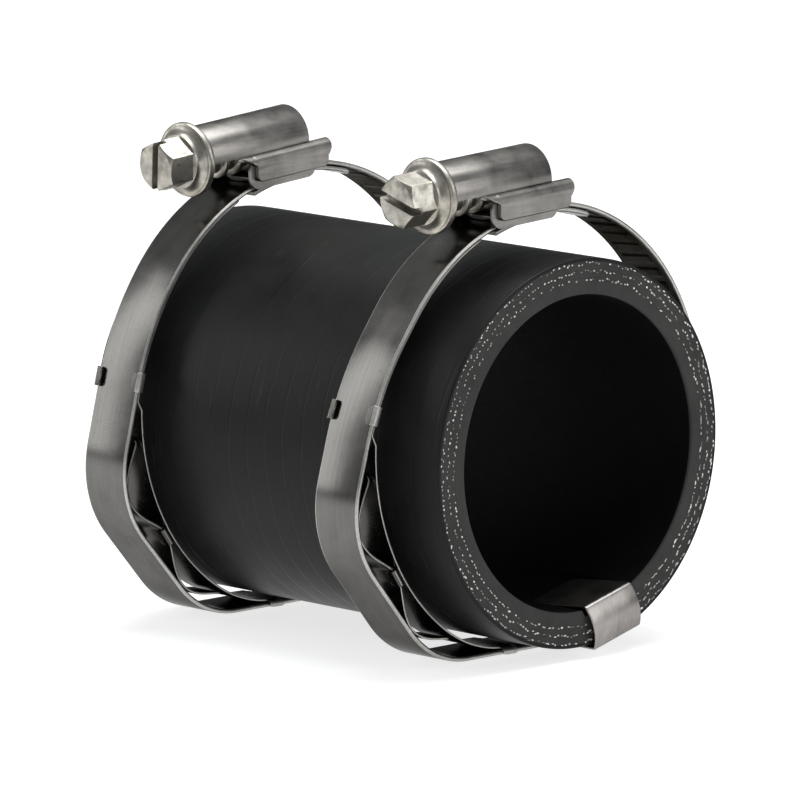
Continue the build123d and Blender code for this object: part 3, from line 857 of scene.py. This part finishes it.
# %% [markdown]
# ## Housing
#
# One pressed sheet makes the tube over the screw, the two shoulders and the flaps. The tube is
# a slab bent round the screw. Each shoulder is a second slab whose columns run out from the
# crease, over the shoulder and down the flap. How far down the columns reach changes from row
# to row, which draws the pointed lug ahead of the flap and the rounded lobe behind it.
# %% Housing
TUBE_ENDS = (-16.6, 3.6)
THREAD_ROOM = 0.25
TUBE_BORE = THREAD_RADIUS + THREAD_ROOM
TUBE_WALL = 0.7
TUBE_COLUMNS = 72
TUBE_ROUNDING = 0.35 * TUBE_WALL
FLAP_ENDS = (-8.7, 6.2)
FLAP_REACH = 1.17
FLAP_CORNER = 0.9
LUG_LENGTH = 2.7
LOBE_LENGTH = 0.9
SKIRT_COLUMNS = 36


def tube_slab(clamp):
    outer_radius = TUBE_BORE + TUBE_WALL
    start = -math.degrees(math.asin(LEDGE_DROP / outer_radius))
    rows = []
    for end, step in ((TUBE_ENDS[0], 1), (TUBE_ENDS[1], -1)):
        row = []
        for angle in (0, 30, 60, 90):
            across, up = polar(TUBE_ROUNDING, angle)
            row.append((end + step * (TUBE_ROUNDING - across), TUBE_ROUNDING - up))
        rows += row if step == 1 else row[::-1]
    outer, inner = [], []
    for y, drop in rows:
        outer_row, inner_row = [], []
        for column in range(TUBE_COLUMNS + 1):
            angle = start + (180 - 2 * start) * column / TUBE_COLUMNS
            for row, radius in ((outer_row, outer_radius - drop), (inner_row, TUBE_BORE + drop)):
                x, z = polar(radius, angle)
                row.append((x, y, clamp.axis_height + z))
        outer.append(outer_row)
        inner.append(inner_row)
    return slab(outer, inner)


CREASE_PLACE = TUBE_BORE + 0.45
SHOULDER_BEND = 1.5
SHOULDER_TURN = 100.0
SHOULDER_SIDE = SADDLE_HALF + HOUSING_SHEET + 0.15
FOLD_BEND = 0.15
FOLD_RUN = 0.35
LUG_START = 0.12
LUG_SHARE = 0.85
LOBE_SHARE = 1.1
LOBE_TURN = 88
SKIRT_STEPS = 8
FLAP_INSET = 0.04
HEM_ROUNDING = 0.15


def skirt_line(clamp):
    """Stations from the crease beside the tube, over the shoulder and down to the hem, and
    how far along them the fold is."""
    ledge = clamp.axis_height - LEDGE_DROP
    hem = clamp.radius - FLAP_REACH
    level = SHOULDER_SIDE - CREASE_PLACE - SHOULDER_BEND
    turn = math.radians(SHOULDER_TURN)
    drop = SHOULDER_BEND * (1 - math.cos(turn)) + FOLD_RUN * math.sin(turn)
    steps = [
        ("run", level),
        ("bend", SHOULDER_BEND, -SHOULDER_TURN),
        ("run", FOLD_RUN),
        ("bend", FOLD_BEND, SHOULDER_TURN - 90),
        ("run", ledge - drop - hem),
    ]
    line = walk((CREASE_PLACE, ledge), 0.0, steps, 0.15)
    return line, level + SHOULDER_BEND * turn + FOLD_RUN


def skirt_slab(clamp):
    line, shoulder = skirt_line(clamp)
    walked = distances(line)
    total = walked[-1]
    rows = []
    for i in range(SKIRT_STEPS + 1):
        part = i / SKIRT_STEPS
        reach = LUG_START + shoulder * LUG_SHARE * part**0.8
        rows.append((FLAP_ENDS[0] - LUG_LENGTH * (1 - part), reach))
    flap = []
    for angle in range(0, 91, 15):
        across, down = polar(FLAP_CORNER, angle)
        flap.append((FLAP_CORNER - across, total - FLAP_CORNER + down))
    rows += [(FLAP_ENDS[0] + FLAP_INSET + along, reach) for along, reach in flap]
    rows += [(FLAP_ENDS[1] - FLAP_INSET - along, reach) for along, reach in reversed(flap)]
    for i in range(SKIRT_STEPS + 1):
        part = i / SKIRT_STEPS
        reach = LUG_START + shoulder * LOBE_SHARE * math.cos(math.radians(LOBE_TURN * part))
        rows.append((FLAP_ENDS[1] + LOBE_LENGTH * math.sin(math.radians(90 * part)), reach))
    outer, inner = [], []
    for y, reach in rows:
        outer_row, inner_row = [], []
        for column in range(SKIRT_COLUMNS + 1):
            along = reach * column / SKIRT_COLUMNS
            index = max(i for i, place in enumerate(walked) if place <= along + 1e-9)
            following = min(index + 1, len(line) - 1)
            gap = walked[following] - walked[index]
            part = (along - walked[index]) / gap if gap else 0.0
            here = [a + (b - a) * part for a, b in zip(line[index], line[following])]
            hem = HEM_ROUNDING * smooth(along, reach - HEM_ROUNDING, reach)
            for row, depth in ((outer_row, -hem), (inner_row, hem - HOUSING_SHEET)):
                x, z = inset(here, depth)
                row.append((x, y, z))
        outer.append(outer_row)
        inner.append(inner_row)
    return slab(outer, inner)


def housing_piece(clamp):
    skirt = skirt_slab(clamp)
    mirror = moved(skirt, Matrix.Scale(-1, 4, (1, 0, 0)))
    points, faces = merge(tube_slab(clamp), skirt, mirror)
    housing = make_mesh(clamp.name + "_screw_housing", points, faces, clamp.to_row)
    dress(housing, housing_steel, "housing_steel", clamp.name + "_clamp", clamp.name + "_housing")


for clamp in clamps:
    housing_piece(clamp)

# %% [markdown]
# ## Worm screw
#
# The thread is one long ribbon wound along a helix: each station holds a short profile from
# root to crest to root, and neighbouring turns share their edges.
# %% Worm thread
CORE_RADIUS = 3.0
SHANK_START = -17.05
SCREW_TIP = 3.0
CREST_HALF = 0.35
ROOT_HALF = 0.75
THREAD_FADE = (0.2, 1.6)
TIP_CHAMFER = 0.3
THREAD_STATIONS = 72


def thread_ribbon():
    """Points (x, y, z) of a worm about the Y axis, crest down over y = 0."""
    profile = [(-THREAD_PITCH / 2, 0.0), (-ROOT_HALF, 0.0)]
    profile += [(-ROOT_HALF + 0.12, 0.12), (-CREST_HALF - 0.1, 0.88), (-CREST_HALF, 1.0)]
    profile += [(-y, lift) for y, lift in reversed(profile)]
    first = math.floor(SHANK_START / THREAD_PITCH) - 1
    last = math.ceil(SCREW_TIP / THREAD_PITCH) + 1
    stations = (last - first) * THREAD_STATIONS
    points = []
    for i in range(stations + 1):
        turn = first + i / THREAD_STATIONS
        for offset, lift in profile:
            y = THREAD_PITCH * (turn - 0.25) + offset
            y = min(max(y, SHANK_START), SCREW_TIP)
            fade = smooth(SCREW_TIP - y, *THREAD_FADE)
            radius = CORE_RADIUS + (THREAD_RADIUS - CORE_RADIUS) * lift * fade
            radius -= TIP_CHAMFER * smooth(y, SCREW_TIP - TIP_CHAMFER, SCREW_TIP)
            x, down = polar(radius, 360 * turn)
            points.append((x, y, -down))
    width = len(profile)
    faces = []
    for i in range(stations):
        for j in range(width - 1):
            corners = (i * width + j, i * width + j + 1, (i + 1) * width + j + 1, (i + 1) * width + j)
            if len({tuple(round(v, 6) for v in points[c]) for c in corners}) == 4:
                faces.append(corners)
    return points, faces


worm_part = thread_ribbon()
print("worm thread", len(worm_part[0]), "points")

# %% [markdown]
# ## Screw head
#
# The head is a stack of rings. Reading it from its back: a flat seat, a rounded rim with a
# small bead, a hollow dish that sweeps up to the hexagon, six flats, and a chamfer. The
# hexagon's rings change radius as they go round. The driver slot is cut with a boolean.
# %% Screw head
FLANGE_RADIUS = 5.8
FLANGE_RINGS = (
    (0.0, 0.0), (0.0, 5.3), (0.12, 5.6), (0.4, FLANGE_RADIUS), (0.9, FLANGE_RADIUS),
    (1.2, 5.68), (1.3, 5.45), (1.2, 5.2))
DISH_START = SHANK_START - 1.2
DISH_RADII = (5.1, 4.15)
DISH_STEPS = 10
DISH_HOLLOW = 2.2
NECK = SHANK_START - 2.55
NECK_RADIUS = 4.02
HEAD_TOP = NECK - 4.8
FLAT_RADIUS = 3.5
TOP_RADIUS = 3.3
TOP_DROP = 0.10
CHAMFER_SLOPE = 0.75
HEAD_COLUMNS = 144
DRIVER_SLOT = 1.25
DRIVER_SLOT_DEPTH = 1.8


def hexagon(angle):
    """Distance from the middle to a hexagon's side; 1 is the distance to a flat."""
    return 1 / math.cos(math.radians((angle % 60) - 30))


def head_rings():
    """Rings as (y, radius), from the flange's back face to the top; the hexagon's two rings,
    at its foot and at its chamfer, have a name instead of a radius."""
    rings = [(SHANK_START - back, radius) for back, radius in FLANGE_RINGS]
    wide, narrow = DISH_RADII
    for i in range(1, DISH_STEPS + 1):
        part = i / DISH_STEPS
        y = DISH_START + (NECK - DISH_START) * part
        rings.append((y, narrow + (wide - narrow) * (1 - part) ** DISH_HOLLOW))
    rings += [(NECK - 0.05, NECK_RADIUS), (NECK - 0.12, "foot"), (HEAD_TOP, "chamfer")]
    return rings + [(HEAD_TOP, TOP_RADIUS), (HEAD_TOP, 0.0)]


def head_part():
    rings = head_rings()
    points = []
    for y, radius in rings:
        for column in range(HEAD_COLUMNS):
            angle = 360 * column / HEAD_COLUMNS
            corner = FLAT_RADIUS * hexagon(angle)
            level = y
            if radius == "chamfer":
                level += TOP_DROP + (corner - FLAT_RADIUS) * CHAMFER_SLOPE
            x, z = polar(corner if isinstance(radius, str) else radius, angle)
            points.append((x, level, z))
    return points, ring_faces(len(rings), HEAD_COLUMNS, closed_ends=False)


def tool_block():
    """The bar whose shape the driver slot has."""
    half = DRIVER_SLOT / 2
    floor = HEAD_TOP + DRIVER_SLOT_DEPTH
    corners = [(x, y, z) for x in (-8, 8) for y in (HEAD_TOP - 2, floor) for z in (-half, half)]
    faces = [(0, 1, 3, 2), (4, 6, 7, 5), (0, 4, 5, 1), (2, 3, 7, 6), (0, 2, 6, 4), (1, 5, 7, 3)]
    return corners, faces


def turned(part, degrees):
    return moved(part, Matrix.Rotation(math.radians(degrees), 4, "Y"))


def screw_piece(clamp):
    raised = clamp.to_row @ Matrix.Translation((0, 0, clamp.axis_height * MM))
    turn = SLOT_TURNS[clamp.name]
    head = make_mesh("head", *turned(head_part(), turn), raised)
    tool = make_mesh("tool", *turned(tool_block(), turn), raised)
    cut = head.modifiers.new("slot", "BOOLEAN")
    cut.object = tool
    cut.solver = "EXACT"
    soften = head.modifiers.new("edges", "BEVEL")
    soften.width = 0.09 * MM
    soften.segments = 2
    soften.angle_limit = math.radians(35)
    bake_modifiers(head)
    to_points = raised.inverted()
    cut_points = [tuple((to_points @ v.co) / MM) for v in head.data.vertices]
    cut_faces = [tuple(p.vertices) for p in head.data.polygons]
    for scrap in (head, tool):
        bpy.data.objects.remove(scrap)
    points, faces = merge(worm_part, (cut_points, cut_faces))
    screw = make_mesh(clamp.name + "_worm", points, faces, raised)
    dress(screw, screw_plating, "screw_plate", clamp.name + "_screw", clamp.name + "_worm_screw")


for clamp in clamps:
    screw_piece(clamp)

# %% [markdown]
# ## Hose wall
#
# The hose is built like the real one, layer on layer: an inner tube, three plies of yarn with
# rubber between them, and a wrapped cover. Each rubber layer is a closed profile turned round
# the hose's axis, with soft corners where the knife left them.
# %% Hose layers
HOSE_COLUMNS = 360
CLIP_ANGLE = -75.0
CLIP_HALF = 5.0
CLIP_INNER_LEG = 12.0
CLIP_SHEET = 0.4
CLIP_GAP = 0.1
CUT_CORNER = 0.04
BORE_CORNER = 0.35
COVER_CORNER = 0.25


def layer_profile(inner, outer, inner_round, outer_round):
    """Closed outline (x, radius) of a layer with rounded corners at both ends."""
    profile = []
    for angle in range(0, 91, 15):
        in_round, out_round = polar(outer_round, angle)
        profile.append((HALF_HOSE - outer_round + out_round, outer - outer_round + in_round))
    for angle in range(0, 91, 15):
        in_round, out_round = polar(inner_round, angle)
        profile.append((HALF_HOSE - inner_round + in_round, inner + inner_round - out_round))
    return profile + [(-x, radius) for x, radius in reversed(profile)]


def layer_radii(node, below):
    """Inner and outer radius of a layer, from the box of the node and of the one below it."""
    inner = high(below, 2) if below else BORE_RADIUS
    return inner, high(node, 2)


def press_clip_seat(part):
    """Presses the clip's flat leg a little way into the bore."""
    floor = BORE_RADIUS + CLIP_SHEET + CLIP_GAP
    middle = math.radians(CLIP_ANGLE)
    points = []
    for x, y, z in part[0]:
        up = y * math.cos(middle) + z * math.sin(middle)
        side = z * math.cos(middle) - y * math.sin(middle)
        beside = abs(side) < CLIP_HALF + CLIP_GAP
        if beside and 0 < up < floor and x > HALF_HOSE - CLIP_INNER_LEG:
            y += (floor - up) * math.cos(middle)
            z += (floor - up) * math.sin(middle)
        points.append((x, y, z))
    return points, part[1]


LAYERS = (
    ("bore_tube", "hose_inner_tube", None, bore_finish, "hose_rubber"),
    ("inner_skim", "hose_inner_skim", "hose_inner_ply", end_finish, "hose_rubber"),
    ("outer_skim", "hose_outer_skim", "hose_middle_ply", end_finish, "hose_rubber"),
    ("wrapped_cover", "hose_cover", "hose_outer_ply", cover_finish, "cover_rubber"),
    ("inner_ply_body", "hose_inner_ply", "hose_inner_tube", end_finish, "ply_yarn"),
    ("middle_ply_body", "hose_middle_ply", "hose_inner_skim", end_finish, "ply_yarn"),
    ("outer_ply_body", "hose_outer_ply", "hose_outer_skim", end_finish, "ply_yarn"),
)


def hose_layers():
    for name, node, below, finish, slot in LAYERS:
        inner_round = CUT_CORNER if below else BORE_CORNER
        outer_round = COVER_CORNER if finish is cover_finish else CUT_CORNER
        inner, outer = layer_radii(node, below)
        part = lathe(layer_profile(inner, outer, inner_round, outer_round), HOSE_COLUMNS)
        if below is None:
            part = press_clip_seat(part)
        edge = end_finish if finish is bore_finish else None
        dress(make_mesh(name, *part), finish, slot, "hose", node, edge=edge)


hose_layers()

# %% [markdown]
# ## Yarn ends
#
# Where the knife went through the plies, the cut yarns show as rows of small pale dashes. Some
# are long and some are only dots, and here and there one is missing. Each is a tiny rounded
# pad that stands a hair proud of the sawn face, placed by seeded chance.
# %% Yarn ends
PAD_SEGMENTS = 8
PAD_PROUD = 0.06
PAD_SINK = 0.1
DRAG_ANGLE = 40
YARN_SEED = 7


def yarn_pad(radius, angle, length, thickness, end, lean):
    """One cut yarn: a low dome on the end face."""
    outward = Vector((0, *polar(1, angle)))
    around = Vector((0, *polar(1, angle + 90))) + outward * lean
    around.normalize()
    across = around.cross(Vector((1, 0, 0)))
    centre = Vector((end * HALF_HOSE, 0, 0)) + outward * radius
    points, rings = [], ((1.0, -PAD_SINK), (0.85, PAD_PROUD * 0.7), (0.4, PAD_PROUD))
    for size, proud in rings:
        for i in range(PAD_SEGMENTS):
            u, v = polar(size, 360 * i / PAD_SEGMENTS)
            place = centre + around * (u * length / 2) + across * (v * thickness / 2)
            points.append(tuple(place + Vector((end * proud, 0, 0))))
    return points, ring_faces(len(rings), PAD_SEGMENTS)


def yarn_row(name, node, below, count, chance):
    """The cut yarns of one ply on both ends; the knife dragged them out longer on one side."""
    inner, outer = layer_radii(node, below)
    parts = []
    for end in (-1, 1):
        for i in range(count):
            angle = 360 * (i + chance.uniform(-0.35, 0.35)) / count
            dragged = 0.5 + 0.5 * math.cos(math.radians(angle + DRAG_ANGLE))
            if chance.random() < 0.22 - 0.08 * dragged:
                continue
            length = chance.uniform(0.18, 0.50) + dragged * chance.uniform(0.0, 0.55)
            thickness = chance.uniform(0.14, 0.36)
            radius = chance.uniform(inner + 0.02, outer - 0.02)
            lean = chance.uniform(-0.35, 0.35)
            parts.append(yarn_pad(radius, angle, length, thickness, end, lean))
    dress(make_mesh(name, *merge(*parts)), yarn_finish, "ply_yarn", "hose")


chance = random.Random(YARN_SEED)
yarn_row("inner_yarn_ends", "hose_inner_ply", "hose_inner_tube", 236, chance)
yarn_row("middle_yarn_ends", "hose_middle_ply", "hose_inner_skim", 246, chance)
yarn_row("outer_yarn_ends", "hose_outer_ply", "hose_outer_skim", 256, chance)

# %% [markdown]
# ## Sheet clip
#
# A small strip of bright sheet bridges the cut end from the bore to the outside. It comes out
# of the bore, turns up over a small lip, bows over the end face and folds back over the cover.
# It is another path of runs and bends, in the plane through the hose's axis. The leg in the
# bore slopes up a little, so that the lip stands clear of the rubber.
# %% Clip
LIP_BEND = 0.8
LIP_TURN = 60.0
CROWN_BEND = 0.7
CROWN_TURN = 115.0
CLIP_OUTER_LEG = 5.0
LIP_RISE = 1.1
LIP_SETBACK = 0.4


def clip_piece():
    span = HOSE_RADIUS + CLIP_GAP + CLIP_SHEET - BORE_RADIUS + LIP_RISE
    lip_across, lip_along = polar(1, LIP_TURN)
    crown_across, crown_along = polar(1, CROWN_TURN)
    leg = CLIP_INNER_LEG + CLIP_GAP - LIP_SETBACK
    slope = math.degrees(math.atan2(LIP_RISE, leg))
    ends = LIP_BEND * (polar(1, slope)[0] - lip_across) + CROWN_BEND * (1 + crown_across)
    web = (span - ends) / (lip_across - crown_across)
    overhang = CLIP_GAP - LIP_SETBACK
    overhang += (LIP_BEND - web) * lip_along + (web - CROWN_BEND) * crown_along
    steps = [
        ("run", math.hypot(leg, LIP_RISE)),
        ("bend", LIP_BEND, LIP_TURN + slope),
        ("bend", web, CROWN_TURN - LIP_TURN),
        ("bend", CROWN_BEND, 180 - CROWN_TURN),
        ("run", CLIP_OUTER_LEG + overhang),
    ]
    stations = walk((HALF_HOSE - CLIP_INNER_LEG, BORE_RADIUS), -slope, steps, 0.12)
    part = strip(stations, CLIP_HALF, 0, CLIP_SHEET, 0.18, 4, 1.0, 1.0)
    outward = Vector((0, *polar(1, CLIP_ANGLE)))
    sideways = Vector((1, 0, 0)).cross(outward)
    stand = Matrix((sideways, (1, 0, 0), outward)).transposed().to_4x4()
    clip = make_mesh("rim_clip", *moved(part, stand))
    dress(clip, clip_steel, "clip_steel", "hose", "earthing_clip")


clip_piece()

# %% [markdown]
# ## Floor
#
# The object stands on a plain pale floor, a hair below the strips' feet. The floor glows a
# little of itself, which keeps the shadow under the hose light.
# %% Floor
def floor_finish():
    make = Finish("pale_floor")
    cloud = make.noise(6.0, 3.0, 0.5)
    colour = make.blend(make.span(cloud, 0.3, 0.7), (0.40, 0.40, 0.40, 1), (0.44, 0.44, 0.44, 1))
    return make.set(Base_Color=colour, Roughness=0.75, Emission_Color=(1, 1, 1, 1), Emission_Strength=0.75)


FLOOR_HALF = 3000
FLOOR_DROP = 0.4
reach = ((-1, -1), (1, -1), (1, 1), (-1, 1))
corners = [(x * FLOOR_HALF, y * FLOOR_HALF, FLOOR - FLOOR_DROP) for x, y in reach]
floor = make_mesh("floor", corners, [(0, 1, 2, 3)])
floor.data.materials.append(floor_finish())
print("floor at", round(FLOOR - FLOOR_DROP, 2))

# %% [markdown]
# ## Camera
#
# The camera is a long lens far away, which makes the two clamps look almost equally big. It
# stands a little above the hose's axis and looks along it at half a right angle.
# %% Camera
AZIMUTH = math.radians(45.848)
ELEVATION = math.radians(9.589)
CAMERA_DISTANCE = 1392.64
LENS = 410.85
TARGET = Vector((-2.155, 1.139, 3.230))

level = math.cos(ELEVATION)
away = Vector((math.sin(AZIMUTH) * level, -math.cos(AZIMUTH) * level, math.sin(ELEVATION)))
camera_data = bpy.data.cameras.new("camera")
camera_data.lens = LENS
camera_data.clip_end = 100
camera = bpy.data.objects.new("camera", camera_data)
camera.location = (TARGET + away * CAMERA_DISTANCE) * MM
camera.rotation_euler = away.to_track_quat("Z", "Y").to_euler()
bpy.context.scene.collection.objects.link(camera)
bpy.context.scene.camera = camera
print("camera at", [round(v, 3) for v in camera.location])

# %% [markdown]
# ## Lights
#
# Steel only looks like steel when it has something to reflect. A broad panel overhead gives
# the soft top light, a tall one low at the left lights the strips' upright stretches, and a
# weak one behind draws the edges on the right.
# %% Lights
def soft_panel(name, place, size, power):
    """An area light that looks at the object."""
    data = bpy.data.lights.new(name, "AREA")
    data.shape = "RECTANGLE"
    data.size, data.size_y = size
    data.energy = power
    panel = bpy.data.objects.new(name, data)
    panel.location = place
    panel.rotation_euler = Vector(place).to_track_quat("Z", "Y").to_euler()
    bpy.context.scene.collection.objects.link(panel)
    return panel


soft_panel("top_panel", (-0.05, 0.15, 0.95), (1.0, 0.6), 11)
soft_panel("left_panel", (-0.92, -0.68, 0.44), (0.35, 0.75), 2.5)
soft_panel("right_panel", (0.9, 0.45, 0.35), (0.3, 0.6), 2)
print("three soft panels")

# %% [markdown]
# ## World
#
# Between the panels, polished metal reflects the world. It is dim near the ground and gets
# lighter overhead, so that the darks in the steel stay dark.
# %% World
WORLD_LEVELS = (0.05, 0.55)


def studio_world():
    """Dim surroundings that get lighter overhead, so that steel has darks to reflect."""
    world = bpy.data.worlds.new("studio_world")
    world.use_nodes = True
    tree = world.node_tree
    direction = tree.nodes.new("ShaderNodeTexCoord")
    split = tree.nodes.new("ShaderNodeSeparateXYZ")
    level = tree.nodes.new("ShaderNodeMapRange")
    tree.links.new(direction.outputs["Generated"], split.inputs[0])
    tree.links.new(split.outputs[2], level.inputs[0])
    for i, value in ((1, -0.1), (2, 0.9), (3, WORLD_LEVELS[0]), (4, WORLD_LEVELS[1])):
        level.inputs[i].default_value = value
    background = tree.nodes["Background"]
    background.inputs["Color"].default_value = (0.96, 0.98, 1.0, 1)
    tree.links.new(level.outputs[0], background.inputs["Strength"])
    bpy.context.scene.world = world


studio_world()
bpy.context.scene.view_settings.view_transform = "Standard"
print("a dim world")
